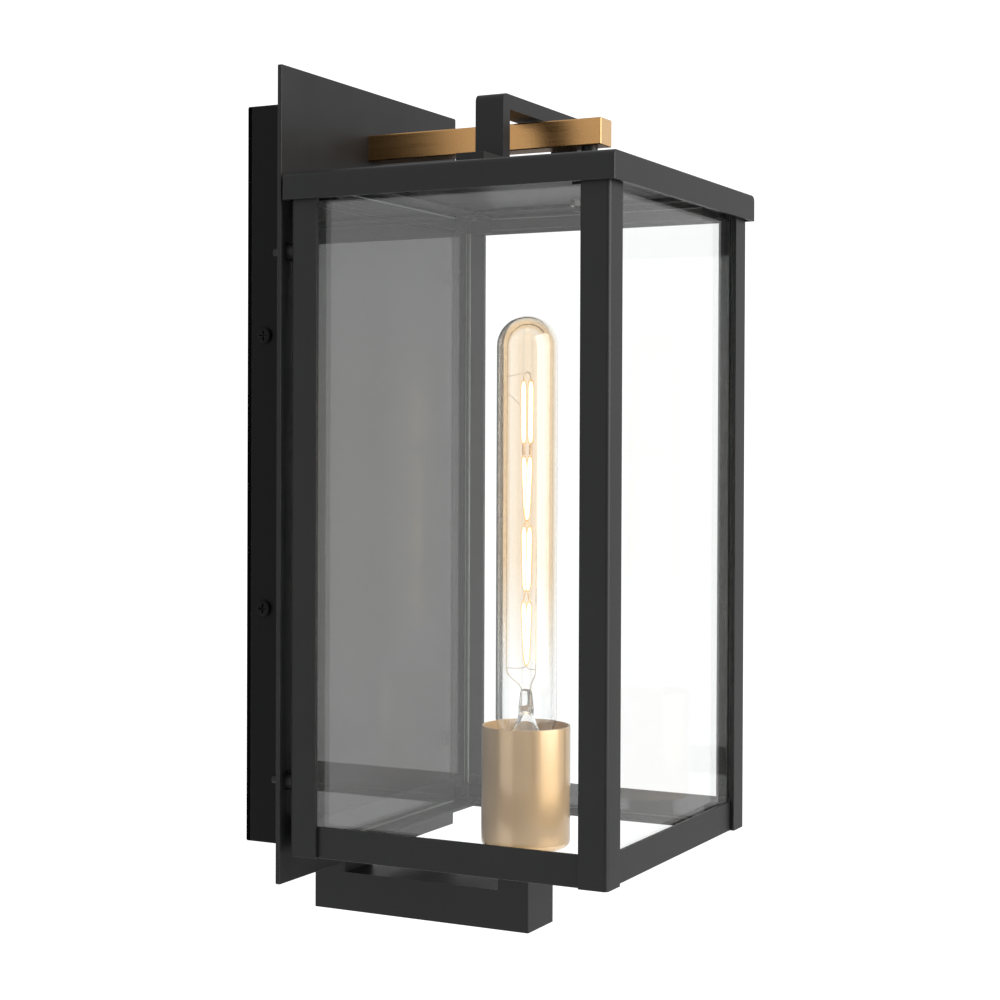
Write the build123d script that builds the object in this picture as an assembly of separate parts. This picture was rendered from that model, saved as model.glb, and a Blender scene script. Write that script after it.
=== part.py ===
from build123d import *
import math
import os

# Outdoor wall lantern: a glazed square cage on a wall plate, held by a brass arm.
# Millimetres, +Z up. Origin: centre of the wall box's gasket, on the wall.
# The wall is the plane Y = 0 and the lantern stands out towards -Y.

os.makedirs("parts", exist_ok=True)

# ---------------------------------------------------------------- dimensions
BOX_W, BOX_H, BOX_D = 147.0, 365.0, 27.5      # wall box, open at the back
BOX_T = 1.5
GASKET_T = 2.3                                 # soft gasket between the box's rim and the wall
PLATE_W, PLATE_H, PLATE_T = 178.0, 397.0, 2.2  # flat back plate
PLATE_Y = -(BOX_D + PLATE_T)                   # front face of the back plate

CAGE_X = 88.3                                  # half width over the posts
CAGE_YR, CAGE_YF = -35.0, -202.5               # rear and front faces of the cage
CAGE_YC = (CAGE_YR + CAGE_YF) / 2
CAGE_Z0, CAGE_Z1 = -184.0, 144.3
LEG, LEG_T = 14.6, 2.2                         # corner post angle section
RAIL_T = 2.0
RAIL_H = 15.0                                  # bottom rails
RAIL_LEG = 14.0                                # inward flange of the bottom rails
TOP_H = 10.0                                   # top rails
TOP_LEG = 17.0

GLASS_T = 2.2
GLASS_Z0, GLASS_Z1 = CAGE_Z0 + RAIL_T + 0.3, 140.3
GLASS_GAP = 0.2

ROOF_X = 91.5
ROOF_YR, ROOF_YF = -31.8, -206.0
ROOF_T = 1.5
ROOF_TOP = CAGE_Z1 + ROOF_T
ROOF_LIP = 132.5                               # lower edge of the roof lip
ROOF_RB, ROOF_RV = 3.2, 1.0                    # side bends and upright corners

ARM_S = 13.4                                   # brass arm, square section
ARM_Z0 = 162.3
ARM_YF = -161.5
SPACER_Y = -152.5

STRAP_XO, STRAP_T, STRAP_W = 46.0, 7.2, 15.0   # strap over the arm
STRAP_Y = -120.4
STRAP_TOP = 184.0
STRAP_FOOT = 66.0
FOOT_X = 56.0                                  # foot screw

LOW_X = 14.6                                   # lower arm, half width
LOW_Z0, LOW_Z1 = -226.8, -207.0
LOW_YR, LOW_YF = -3.0, -127.5
RISER_R, RISER_F = 18.5, 17.0                  # riser lengths along Y
LOW_T = 1.6
COVER_T = 1.6

CUP_R, CUP_T = 22.4, 1.0
CUP_Z0, CUP_Z1 = -186.8, -125.6

BULB_R, BULB_T = 15.4, 0.9
BULB_TOP = 79.9
BASE_R = 13.1                                  # bulb cap, over the thread
BASE_Z0, BASE_Z1 = -156.0, -131.0
TIP_Z = -160.0

SIDE_ZS = (-66.3, 68.7)                        # heights of the box side screws
SIDE_Y = -10.4
EAR_D = 17.0                                   # how far the bracket ears stand out
STAND_X = CAGE_X - 7.5                         # standoffs through the rear posts
STAND_Z = (108.5, -149.0)
STUD_XZ = [(sx * 52.0, sz * 140.0) for sx in (-1, 1) for sz in (-1, 1)]

XC = (0.0, CAGE_YC)                            # lamp axis in plan


# ---------------------------------------------------------------- helpers
def block(x0, x1, y0, y1, z0, z1):
    """Box from two opposite corners."""
    size = (abs(x1 - x0), abs(y1 - y0), abs(z1 - z0))
    centre = ((x0 + x1) / 2, (y0 + y1) / 2, (z0 + z1) / 2)
    return Pos(*centre) * Box(*size)


def rod_z(x, y, z0, z1, r):
    return Pos(x, y, (z0 + z1) / 2) * Cylinder(r, abs(z1 - z0))


def rod_y(x, z, y0, y1, r):
    return Pos(x, (y0 + y1) / 2, z) * Rot(90, 0, 0) * Cylinder(r, abs(y1 - y0))


def rod_x(y, z, x0, x1, r):
    return Pos((x0 + x1) / 2, y, z) * Rot(0, 90, 0) * Cylinder(r, abs(x1 - x0))


def hex_z(x, y, z0, z1, af):
    return Pos(x, y, z0) * extrude(RegularPolygon(af / math.sqrt(3), 6), z1 - z0)


def turned(points):
    """Solid of revolution about the lamp axis from (radius, height) points."""
    outline = Polyline(*[(r, 0, z) for r, z in points], close=True)
    return Pos(XC[0], XC[1], 0) * revolve(make_face(outline), Axis.Z)


def phillips(r, depth):
    """Cross recess cutter standing on Z = 0, pointing down."""
    slot = Box(r * 1.25, r * 0.26, depth) + Box(r * 0.26, r * 1.25, depth)
    return Pos(0, 0, -depth / 2) * slot


def pan_screw(r, length, head_r, head_h, pilot=0.0):
    """Screw along -Z, underside of the head on Z = 0, cross recess on top."""
    head = Pos(0, 0, head_h / 2) * Cylinder(head_r, head_h)
    head = fillet(head.edges().filter_by(GeomType.CIRCLE).sort_by(Axis.Z)[-1], head_h * 0.55)
    shank = Pos(0, 0, -length / 2 + pilot / 2) * Cylinder(r, length + pilot)
    return head + shank - Pos(0, 0, head_h) * phillips(head_r, head_h * 0.6)


def hex_nut(af, h, bore):
    nut = extrude(RegularPolygon(af / math.sqrt(3), 6), h)
    return nut - Pos(0, 0, h / 2) * Cylinder(bore, h * 1.1)


def wire_run(points, r, bend=0.0):
    """Round wire swept along a polyline, with rounded bends if it has any."""
    path = FilletPolyline(*points, radius=bend) if bend else Polyline(*points)
    start = Plane(origin=path @ 0, z_dir=path % 0)
    return sweep(start * Circle(r), path=path)


def save(name, *solids):
    """Write one node; several separate pieces go in as a group."""
    pieces = []
    for s in solids:
        pieces += list(s.solids())
    for p in pieces:
        assert p.is_valid, name
    shape = pieces[0] if len(pieces) == 1 else Compound(children=pieces)
    shape.label = name
    export_step(shape, "parts/" + name + ".step")
    print("%-22s %2d solid(s)" % (name, len(pieces)))


# ---------------------------------------------------------------- wall side
def wall_box():
    hw, hh = BOX_W / 2, BOX_H / 2
    body = block(-hw, hw, -GASKET_T, -BOX_D, -hh, hh)
    body = fillet(body.edges().filter_by(Axis.Y), 1.2)
    body -= block(-hw + BOX_T, hw - BOX_T, 1, -BOX_D + BOX_T, -hh + BOX_T, hh - BOX_T)
    for sx in (-1, 1):
        for z in SIDE_ZS:
            body -= rod_x(SIDE_Y, z, sx * (hw - 3), sx * (hw + 3), 2.25)
    for x, z in STUD_XZ:
        body -= rod_y(x, z, -BOX_D - 1, -BOX_D + 3, 2.15)
    body -= rod_y(0, ARM_Z0 + ARM_S / 2, -BOX_D - 1, -BOX_D + 3, 2.7)
    wire_y = LOW_YR - RISER_R / 2
    body -= rod_z(0, wire_y, -hh - 1, -hh + 3, 5.2)
    for sx in (-1, 1):
        body -= rod_z(sx * 9.5, wire_y, -hh - 1, -hh + 3, 1.7)
    return body


def wall_gasket():
    """Narrow ring on the box's rim, cut through at the bottom to let water out."""
    hw, hh = BOX_W / 2, BOX_H / 2
    ring = block(-hw, hw, 0, -GASKET_T, -hh, hh)
    ring = fillet(ring.edges().filter_by(Axis.Y), 1.2)
    ring -= block(-hw + BOX_T, hw - BOX_T, 1, -GASKET_T - 1, -hh + BOX_T, hh - BOX_T)
    return ring - block(-3, 3, 1, -GASKET_T - 1, -hh - 1, -hh + 3)


def mounting_bracket():
    """U-shaped wall strap whose two ears carry the box."""
    inner = BOX_W / 2 - BOX_T - 0.2
    web = block(-inner, inner, 0, -1.6, -80, 80)
    web -= block(-30, 30, 1, -3, 52, 90)
    web -= block(-30, 30, 1, -3, -90, -52)
    web -= rod_y(0, 0, 1, -3, 12.0)
    for sx in (-1, 1):
        # pair of slots for the outlet box screws, 70 to 89 mm apart
        web -= block(sx * 35, sx * 44.5, 1, -3, -2.3, 2.3)
        web -= rod_y(sx * 35, 0, 1, -3, 2.3)
        web -= rod_y(sx * 44.5, 0, 1, -3, 2.3)
        for sz in (-1, 1):
            web -= rod_y(sx * 50, sz * 66, 1, -3, 2.6)
    for sz in (-1, 1):
        web -= block(-2.3, 2.3, 1, -3, sz * 35, sz * 44.5)
        web -= rod_y(0, sz * 35, 1, -3, 2.3)
        web -= rod_y(0, sz * 44.5, 1, -3, 2.3)
    web -= rod_y(24, 24, 1, -3, 1.95)
    ears = []
    for sx in (-1, 1):
        for z in SIDE_ZS:
            ear = block(sx * inner, sx * (inner - 1.6), 0, -EAR_D, z - 9, z + 9)
            ears.append(ear - rod_x(SIDE_Y, z, sx * (inner - 3), sx * (inner + 1), 2.05))
    for e in ears:
        web += e
    return web


def side_screws():
    out = []
    for sx in (-1, 1):
        for z in SIDE_ZS:
            s = pan_screw(2.0, 8.0, 3.9, 1.8)
            out.append(Pos(sx * BOX_W / 2, SIDE_Y, z) * Rot(0, sx * 90, 0) * s)
    return out


def ground_screw():
    s = pan_screw(1.9, 5.0, 3.6, 2.2)
    return Pos(24, -2.6, 24) * Rot(90, 0, 0) * s


def ground_washer():
    return rod_y(24, 24, -1.6, -2.6, 4.6) - rod_y(24, 24, 0, -4, 2.0)


def back_plate():
    hw, hh = PLATE_W / 2, PLATE_H / 2
    p = block(-hw, hw, -BOX_D, PLATE_Y, -hh, hh)
    p = fillet(p.edges().filter_by(Axis.Y), 1.0)
    p = fillet(p.faces().sort_by(Axis.Y)[0].edges(), 0.4)
    for sx in (-1, 1):
        for z in STAND_Z:
            p -= rod_y(sx * STAND_X, z, -BOX_D + 1, PLATE_Y - 1, 2.1)
    p -= rod_y(0, ARM_Z0 + ARM_S / 2, -BOX_D + 1, PLATE_Y - 1, 2.7)
    # welded studs clamp the plate to the front of the box
    for x, z in STUD_XZ:
        p += rod_y(x, z, -BOX_D, -BOX_D + 8.0, 2.0)
    return p


def stud_nuts():
    out = []
    for x, z in STUD_XZ:
        out.append(Pos(x, -BOX_D + BOX_T, z) * Rot(-90, 0, 0) * hex_nut(7.0, 3.2, 2.05))
    return out


def standoffs():
    out = []
    for sx in (-1, 1):
        for z in STAND_Z:
            t = rod_y(sx * STAND_X, z, PLATE_Y, CAGE_YR, 4.6)
            out.append(t - rod_y(sx * STAND_X, z, PLATE_Y + 1, CAGE_YR - 1, 2.1))
    return out


def standoff_screws():
    """Flat-headed screws from inside the rear posts, out through the plate."""
    out = []
    y_head = CAGE_YR - LEG_T
    for sx in (-1, 1):
        for z in STAND_Z:
            s = rod_y(sx * STAND_X, z, y_head - 1.6, y_head, 4.0)
            s += rod_y(sx * STAND_X, z, y_head, -BOX_D + 6.6, 2.0)
            out.append(s)
    return out


def standoff_nuts():
    out = []
    for sx in (-1, 1):
        for z in STAND_Z:
            out.append(Pos(sx * STAND_X, -BOX_D, z) * Rot(-90, 0, 0) * hex_nut(7.0, 3.2, 2.05))
    return out


# ---------------------------------------------------------------- cage
def post(sx, front):
    """Angle section with one leg on the side face and one on the front or rear."""
    x = sx * CAGE_X
    y = CAGE_YF if front else CAGE_YR
    dy = 1 if front else -1
    p = block(x, x - sx * LEG, y, y + dy * LEG, CAGE_Z0, CAGE_Z1)
    cut = block(x - sx * LEG_T, x - sx * (LEG + 1), y + dy * LEG_T, y + dy * (LEG + 1),
                CAGE_Z0 - 1, CAGE_Z1 + 1)
    p -= cut
    edges = p.edges().filter_by(Axis.Z)
    outer = edges.sort_by_distance((x, y, 0))[0]
    p = fillet(outer, 2.0)
    if not front:
        for z in STAND_Z:
            p -= rod_y(sx * STAND_X, z, CAGE_YR + 1, CAGE_YR - LEG_T - 1, 2.1)
    return p


def rail(side, top):
    """Angle rail set behind the post legs; the side rails run full length."""
    xo = CAGE_X - LEG_T
    yr, yf = CAGE_YR - LEG_T, CAGE_YF + LEG_T
    leg = TOP_LEG if top else RAIL_LEG
    if top:
        zv0, zv1 = CAGE_Z1 - TOP_H, CAGE_Z1
        zf0, zf1 = CAGE_Z1 - RAIL_T, CAGE_Z1
    else:
        zv0, zv1 = CAGE_Z0, CAGE_Z0 + RAIL_H
        zf0, zf1 = CAGE_Z0, CAGE_Z0 + RAIL_T
    if side in ("left", "right"):
        s = -1 if side == "left" else 1
        r = block(s * xo, s * (xo - RAIL_T), yr, yf, zv0, zv1)
        r += block(s * xo, s * (xo - leg), yr, yf, zf0, zf1)
        return r
    y = yf if side == "front" else yr
    dy = 1 if side == "front" else -1
    xi = xo - RAIL_T
    xn = xo - leg
    r = block(-xi, xi, y, y + dy * RAIL_T, zv0 + (RAIL_T if not top else 0),
              zv1 - (RAIL_T if top else 0))
    r += block(-xn, xn, y, y + dy * leg, zf0, zf1)
    return r


def top_rail(side):
    r = rail(side, True)
    for x, y in CLIP_XY:
        if side in ("left", "right"):
            if (x < 0) == (side == "left"):
                r -= rod_z(x, y, CAGE_Z1 - 5, CAGE_Z1 + 1, 1.65)
    return r


CLIP_IN = 6.0
CLIP_XY = []
for _sx in (-1, 1):
    for _y, _d in ((CAGE_YR, -1), (CAGE_YF, 1)):
        CLIP_XY.append((_sx * (CAGE_X - LEG_T - RAIL_T - GLASS_T - GLASS_GAP * 2 - CLIP_IN),
                        _y + _d * (LEG_T + RAIL_T + GLASS_T + GLASS_GAP * 2 + CLIP_IN)))


def upright_edge(solid, x, y):
    """The upright edge nearest to a point in plan."""
    edges = solid.edges().filter_by(Axis.Z)
    return min(edges, key=lambda e: math.hypot(e.center().X - x, e.center().Y - y))


def corner_clips(top):
    """Small angle in each inner corner that traps two panes and ties the roof."""
    out = []
    size, tall = (15.0, 10.0) if top else (12.0, 9.0)
    t, bend = 1.6, 3.5
    for (x, y) in CLIP_XY:
        sx = 1 if x > 0 else -1
        dy = -1 if y > CAGE_YC else 1
        xw = x + sx * CLIP_IN
        yw = y - dy * CLIP_IN
        if top:
            z0, z1 = CAGE_Z1 - RAIL_T - tall, CAGE_Z1 - RAIL_T
            zt0, zt1 = z1 - t, z1
        else:
            z0, z1 = CAGE_Z0 + RAIL_T, CAGE_Z0 + RAIL_T + tall
            zt0, zt1 = z0, z0 + t
        c = block(xw, xw - sx * t, yw, yw + dy * size, z0, z1)
        c += block(xw, xw - sx * size, yw, yw + dy * t, z0, z1)
        c = fillet(upright_edge(c, xw - sx * t, yw + dy * t), bend - t)
        c += block(xw, xw - sx * size, yw, yw + dy * size, zt0, zt1)
        c = fillet(upright_edge(c, xw, yw), bend)
        if top:
            c -= rod_z(x, y, zt0 - 1, zt1 + 1, 1.65)
        out.append(c)
    return out


def roof_screws():
    """Screws up through the clips and the top rail flange into the roof bosses."""
    out = []
    z = CAGE_Z1 - RAIL_T - 1.6
    for x, y in CLIP_XY:
        s = pan_screw(1.55, 4.5, 3.0, 1.7)
        out.append(Pos(x, y, z) * Rot(180, 0, 0) * s)
    return out


def roof_cap():
    r = block(-ROOF_X, ROOF_X, ROOF_YR, ROOF_YF, ROOF_LIP, ROOF_TOP)
    r = fillet(r.edges().filter_by(Axis.Y).group_by(Axis.Z)[-1], ROOF_RB)
    r = fillet(r.edges().filter_by(Axis.Z), ROOF_RV)
    cut = block(-ROOF_X + ROOF_T, ROOF_X - ROOF_T, ROOF_YR - ROOF_T, ROOF_YF + ROOF_T,
                ROOF_LIP - 1, CAGE_Z1)
    cut = fillet(cut.edges().filter_by(Axis.Y).group_by(Axis.Z)[-1], ROOF_RB - ROOF_T)
    r -= cut
    for x, y in CLIP_XY:
        r -= rod_z(x, y, CAGE_Z1 - 1, CAGE_Z1 + 1.1, 1.6)
    for sx in (-1, 1):
        r -= rod_z(sx * FOOT_X, STRAP_Y, CAGE_Z1 - 1, ROOF_TOP + 1, 2.15)
    r -= rod_z(0, SPACER_Y, CAGE_Z1 - 1, ROOF_TOP + 1, 2.15)
    return r


def pane(side):
    xo = CAGE_X - LEG_T - RAIL_T - GLASS_GAP
    yr = CAGE_YR - LEG_T - RAIL_T - GLASS_GAP
    yf = CAGE_YF + LEG_T + RAIL_T + GLASS_GAP
    if side == "front":
        g = block(-xo, xo, yf, yf + GLASS_T, GLASS_Z0, GLASS_Z1)
    elif side == "rear":
        g = block(-xo, xo, yr, yr - GLASS_T, GLASS_Z0, GLASS_Z1)
    else:
        s = -1 if side == "left" else 1
        gap = GLASS_T + 0.4
        g = block(s * xo, s * (xo - GLASS_T), yr - gap, yf + gap, GLASS_Z0, GLASS_Z1)
    return chamfer(g.edges(), 0.25)


# ---------------------------------------------------------------- arm and strap
def brass_arm():
    zc = ARM_Z0 + ARM_S / 2
    a = block(-ARM_S / 2, ARM_S / 2, PLATE_Y, ARM_YF, ARM_Z0, ARM_Z0 + ARM_S)
    a = fillet(a.edges().filter_by(Axis.Y), 0.7)
    a = fillet(a.faces().sort_by(Axis.Y)[0].edges(), 0.5)
    a -= rod_y(0, zc, PLATE_Y + 1, PLATE_Y - 20, 2.55)
    a -= rod_z(0, SPACER_Y, ARM_Z0 - 1, ARM_Z0 + 8, 2.05)
    return a


def arm_screw():
    """Hexagon screw inside the box, through box and plate into the arm's end."""
    y = -BOX_D + BOX_T
    zc = ARM_Z0 + ARM_S / 2
    head = Pos(0, y + 3.5, zc) * Rot(90, 0, 0) * extrude(RegularPolygon(8 / math.sqrt(3), 6), 3.5)
    return head + rod_y(0, zc, y, PLATE_Y - 17, 2.5)


def arm_spacer():
    s = rod_z(0, SPACER_Y, ROOF_TOP, ARM_Z0, 4.1)
    return s - rod_z(0, SPACER_Y, ROOF_TOP - 1, ARM_Z0 + 1, 2.1)


def spacer_screw():
    s = pan_screw(2.0, 25.0, 3.9, 2.2)
    return Pos(0, SPACER_Y, CAGE_Z1) * Rot(180, 0, 0) * s


def strap():
    yc = STRAP_Y
    pts = [(-STRAP_FOOT, ROOF_TOP), (-STRAP_FOOT, ROOF_TOP + STRAP_T),
           (-STRAP_XO, ROOF_TOP + STRAP_T), (-STRAP_XO, STRAP_TOP), (STRAP_XO, STRAP_TOP),
           (STRAP_XO, ROOF_TOP + STRAP_T), (STRAP_FOOT, ROOF_TOP + STRAP_T),
           (STRAP_FOOT, ROOF_TOP), (STRAP_XO - STRAP_T, ROOF_TOP),
           (STRAP_XO - STRAP_T, STRAP_TOP - STRAP_T), (-STRAP_XO + STRAP_T, STRAP_TOP - STRAP_T),
           (-STRAP_XO + STRAP_T, ROOF_TOP)]
    outline = Polyline(*[(x, 0, z) for x, z in pts], close=True)
    s = extrude(make_face(outline), STRAP_W / 2, dir=(0, 1, 0), both=True)
    s = Pos(0, yc, 0) * s
    edges = s.edges().filter_by(Axis.Y)

    def near(x, z):
        return edges.sort_by_distance((x, yc, z))[0]

    s = fillet([near(-STRAP_XO, STRAP_TOP), near(STRAP_XO, STRAP_TOP)], 3.5)
    edges = s.edges().filter_by(Axis.Y)
    s = fillet([near(-STRAP_XO, ROOF_TOP + STRAP_T), near(STRAP_XO, ROOF_TOP + STRAP_T)], 0.8)
    for sx in (-1, 1):
        s -= rod_z(sx * FOOT_X, yc, ROOF_TOP - 1, ROOF_TOP + STRAP_T + 1, 2.15)
        s -= rod_z(sx * FOOT_X, yc, ROOF_TOP + STRAP_T - 2.3, ROOF_TOP + STRAP_T + 1, 4.1)
    return s


def strap_screws():
    """Sunk cap screws in the strap feet."""
    out = []
    for sx in (-1, 1):
        z = ROOF_TOP + STRAP_T - 2.3
        s = rod_z(sx * FOOT_X, STRAP_Y, z, z + 2.1, 3.9)
        s += rod_z(sx * FOOT_X, STRAP_Y, z, CAGE_Z1 - 6.0, 2.0)
        s -= hex_z(sx * FOOT_X, STRAP_Y, z + 0.8, z + 3, 2.5)
        out.append(s)
    return out


def strap_nuts():
    out = []
    for sx in (-1, 1):
        out.append(Pos(sx * FOOT_X, STRAP_Y, CAGE_Z1 - 3.2) * hex_nut(7.0, 3.2, 2.05))
    return out


# ---------------------------------------------------------------- lower arm
REAR_Y1 = LOW_YR - RISER_R
FRONT_Y0 = LOW_YF + RISER_F
WIRE_YR = LOW_YR - RISER_R / 2


def lower_arm():
    """Flat U of folded steel: riser at the box, beam, riser under the lamp cup."""
    zt_r, zt_f = -BOX_H / 2, CUP_Z0
    a = block(-LOW_X, LOW_X, LOW_YR, LOW_YF, LOW_Z0, LOW_Z1)
    a += block(-LOW_X, LOW_X, LOW_YR, REAR_Y1, LOW_Z1 - 1, zt_r)
    a += block(-LOW_X, LOW_X, FRONT_Y0, LOW_YF, LOW_Z1 - 1, zt_f)
    a = fillet(a.edges().filter_by(Axis.Z), 1.0)
    t = LOW_T
    a -= block(-LOW_X + t, LOW_X - t, LOW_YR - t, LOW_YF + t, LOW_Z0 - 1, LOW_Z1 - t)
    a -= block(-LOW_X + t, LOW_X - t, LOW_YR - t, REAR_Y1 + t, LOW_Z1 - 3, zt_r - 2.5)
    a -= block(-LOW_X + t, LOW_X - t, FRONT_Y0 - t, LOW_YF + t, LOW_Z1 - 3, zt_f - 2.5)
    a -= rod_z(0, CAGE_YC, zt_f - 4, zt_f + 1, 5.05)
    a -= rod_z(0, WIRE_YR, zt_r - 4, zt_r + 1, 5.05)
    for sx in (-1, 1):
        a -= rod_z(sx * 9.5, WIRE_YR, zt_r - 4, zt_r + 1, 1.55)
    # screw pillars for the bottom cover
    for y in COVER_Y:
        a += rod_z(0, y, LOW_Z0 + COVER_T, LOW_Z1 - 1, 3.0)
        a -= rod_z(0, y, LOW_Z0 - 1, LOW_Z1 - 5, 1.3)
    return a


COVER_Y = (-46.0, -88.0)


def lower_cover():
    t = LOW_T + 0.15
    c = block(-LOW_X + t, LOW_X - t, LOW_YR - t, LOW_YF + t, LOW_Z0, LOW_Z0 + COVER_T)
    for y in COVER_Y:
        c -= rod_z(0, y, LOW_Z0 - 1, LOW_Z0 + 3, 1.4)
    c -= rod_z(0, -106, LOW_Z0 - 1, LOW_Z0 + 3, 1.5)
    return c


def cover_screws():
    out = []
    for y in COVER_Y:
        s = pan_screw(1.25, 9.0, 2.6, 1.5)
        out.append(Pos(0, y, LOW_Z0) * Rot(180, 0, 0) * s)
    return out


def riser_screws():
    out = []
    for sx in (-1, 1):
        s = pan_screw(1.5, 4.0, 2.8, 1.8)
        out.append(Pos(sx * 9.5, WIRE_YR, -BOX_H / 2 + BOX_T) * s)
    return out


def box_bush():
    """Insulating sleeve where the wires pass from the box into the lower arm."""
    z = -BOX_H / 2
    b = rod_z(0, WIRE_YR, z - 3.2, z + BOX_T, 5.0)
    b += rod_z(0, WIRE_YR, z + BOX_T, z + BOX_T + 1.5, 6.3)
    return b - rod_z(0, WIRE_YR, z - 4, z + 5, 3.8)


# ---------------------------------------------------------------- lamp holder
def nipple():
    n = rod_z(0, CAGE_YC, CUP_Z0 - 7.0, CUP_Z0 + 12.0, 4.9)
    return n - rod_z(0, CAGE_YC, CUP_Z0 - 8.0, CUP_Z0 + 13.0, 3.6)


def nipple_nuts():
    low = Pos(0, CAGE_YC, CUP_Z0 - 2.5 - 3.0) * hex_nut(12.0, 3.0, 4.95)
    high = Pos(0, CAGE_YC, CUP_Z0 + CUP_T) * hex_nut(12.0, 3.0, 4.95)
    return [low, high]


def socket_cup():
    r, t, z0, z1 = CUP_R, CUP_T, CUP_Z0, CUP_Z1
    c = rod_z(0, CAGE_YC, z0, z1, r)
    c = fillet(c.faces().sort_by(Axis.Z)[0].edges(), 4.0)
    inner = rod_z(0, CAGE_YC, z0 + t, z1 + 1, r - t)
    inner = fillet(inner.faces().sort_by(Axis.Z)[0].edges(), 3.0)
    c -= inner
    c -= rod_z(0, CAGE_YC, z0 - 1, z0 + 2, 5.0)
    c = fillet(c.faces().sort_by(Axis.Z)[-1].edges(), 0.4)
    return c


HOLD_Z0, HOLD_Z1 = -174.0, -133.5


def holder_body():
    """Glazed lamp holder with a bore for the screw shell."""
    b = rod_z(0, CAGE_YC, HOLD_Z0, HOLD_Z1, 18.2)
    b = fillet(b.edges().filter_by(GeomType.CIRCLE), 1.2)
    b -= rod_z(0, CAGE_YC, -163.0, HOLD_Z1 + 1, 14.4)
    b -= rod_z(0, CAGE_YC, HOLD_Z0 - 1, HOLD_Z0 + 4.5, 4.95)
    for sx in (-1, 1):
        b -= rod_z(sx * 10.0, CAGE_YC, HOLD_Z0 - 1, -162.0, 1.6)
    b -= rod_z(0, CAGE_YC, HOLD_Z0 - 1, -162.0, 1.7)
    return b


def holder_shell():
    """Screw shell sleeve of the lamp holder."""
    s = rod_z(0, CAGE_YC, -162.6, -134.3, 14.2)
    s -= rod_z(0, CAGE_YC, -162.0, -133.0, 13.6)
    s -= rod_z(0, CAGE_YC, -164.0, -161.0, 8.0)
    return s


def holder_contact():
    c = rod_z(0, CAGE_YC, -163.0, -161.9, 4.5)
    c += rod_z(0, CAGE_YC, -162.0, -160.3, 3.2)
    c += rod_z(0, CAGE_YC, -168.0, -163.0, 1.6)
    return c


def holder_rivets():
    """Terminal rivets under the screw shell floor."""
    out = []
    for sx in (-1, 1):
        r = rod_z(sx * 10.0, CAGE_YC, HOLD_Z0 - 1.2, -162.7, 1.5)
        r += rod_z(sx * 10.0, CAGE_YC, HOLD_Z0 - 1.2, HOLD_Z0, 2.8)
        out.append(r)
    return out


# ---------------------------------------------------------------- bulb
def bulb_glass():
    r, t, top = BULB_R, BULB_T, BULB_TOP
    neck = 12.35
    outer = [(neck, -141.0), (neck, -131.2), (13.4, -129.2), (14.6, -127.0), (r, -124.0)]
    inner = [(neck - t, -141.0), (neck - t, -131.0), (12.6, -128.8), (13.7, -126.6), (r - t, -123.6)]
    out_line = Polyline(*[(a, 0, b) for a, b in outer])
    side_out = Line((r, 0, -124.0), (r, 0, top - r))
    h = math.sqrt(0.5)
    dome_out = ThreePointArc((r, 0, top - r), (r * h, 0, top - r + r * h), (0, 0, top))
    axis = Line((0, 0, top), (0, 0, top - t))
    ri = r - t
    dome_in = ThreePointArc((0, 0, top - t), (ri * h, 0, top - r + ri * h), (ri, 0, top - r))
    side_in = Line((ri, 0, top - r), (ri, 0, -123.6))
    in_line = Polyline(*[(a, 0, b) for a, b in reversed(inner)])
    foot = Line((neck - t, 0, -141.0), (neck, 0, -141.0))
    face = make_face([out_line, side_out, dome_out, axis, dome_in, side_in, in_line, foot])
    return Pos(XC[0], XC[1], 0) * revolve(face, Axis.Z)


def bulb_base():
    """Screw cap of the bulb, a thin metal sleeve."""
    return turned([(BASE_R, BASE_Z1), (BASE_R, BASE_Z0 + 1.5), (11.6, BASE_Z0), (9.2, BASE_Z0 - 0.6),
                   (9.2, BASE_Z0), (11.2, BASE_Z0 + 0.5), (12.5, BASE_Z0 + 2.0), (12.5, BASE_Z1)])


def bulb_insulator():
    """Dark glass ring at the foot of the cap, closed on top."""
    return turned([(9.1, BASE_Z0 - 0.6), (5.2, TIP_Z + 1.0), (3.6, TIP_Z + 1.0), (3.6, BASE_Z0 + 3.0),
                   (9.1, BASE_Z0 + 3.0)])


def bulb_tip():
    return turned([(0, TIP_Z), (3.0, TIP_Z), (4.6, TIP_Z + 0.5), (4.6, TIP_Z + 0.95), (3.5, TIP_Z + 0.95),
                   (3.5, TIP_Z + 2.0), (0, TIP_Z + 2.0)])


STEM_TOP = -107.5


def bulb_stem():
    """Flared glass foot with a flattened press at the top."""
    s = turned([(9.5, -136.0), (8.0, -130.0), (5.6, -125.0), (4.2, -121.0), (3.6, -117.0), (0, -117.0),
                (0, -119.0), (2.6, -120.0), (4.6, -125.6), (7.0, -130.5), (8.5, -136.0)])
    press = block(-1.5, 1.5, CAGE_YC - 4.0, CAGE_YC + 4.0, -118.5, STEM_TOP)
    press = fillet(press.edges().filter_by(Axis.Z), 1.3)
    return s + press


STICK_R = 1.2                                  # lit sticks, in two upright rows
STICK_Y = 1.9
TIERS = [(15.2, 48.0), (-23.4, 10.0), (-59.0, -25.2), (-96.0, -63.2)]
LEAD_REAR, LEAD_FRONT = 11.4, -5.4             # the two leads beside the sticks, along Y
HOOP_TOP = 75.9


def bulb_filaments():
    """Eight straight sticks, two in each tier."""
    out = []
    for z0, z1 in TIERS:
        for sy in (-1, 1):
            out.append(rod_z(0, CAGE_YC + sy * STICK_Y, z0, z1, STICK_R))
    return out


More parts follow.
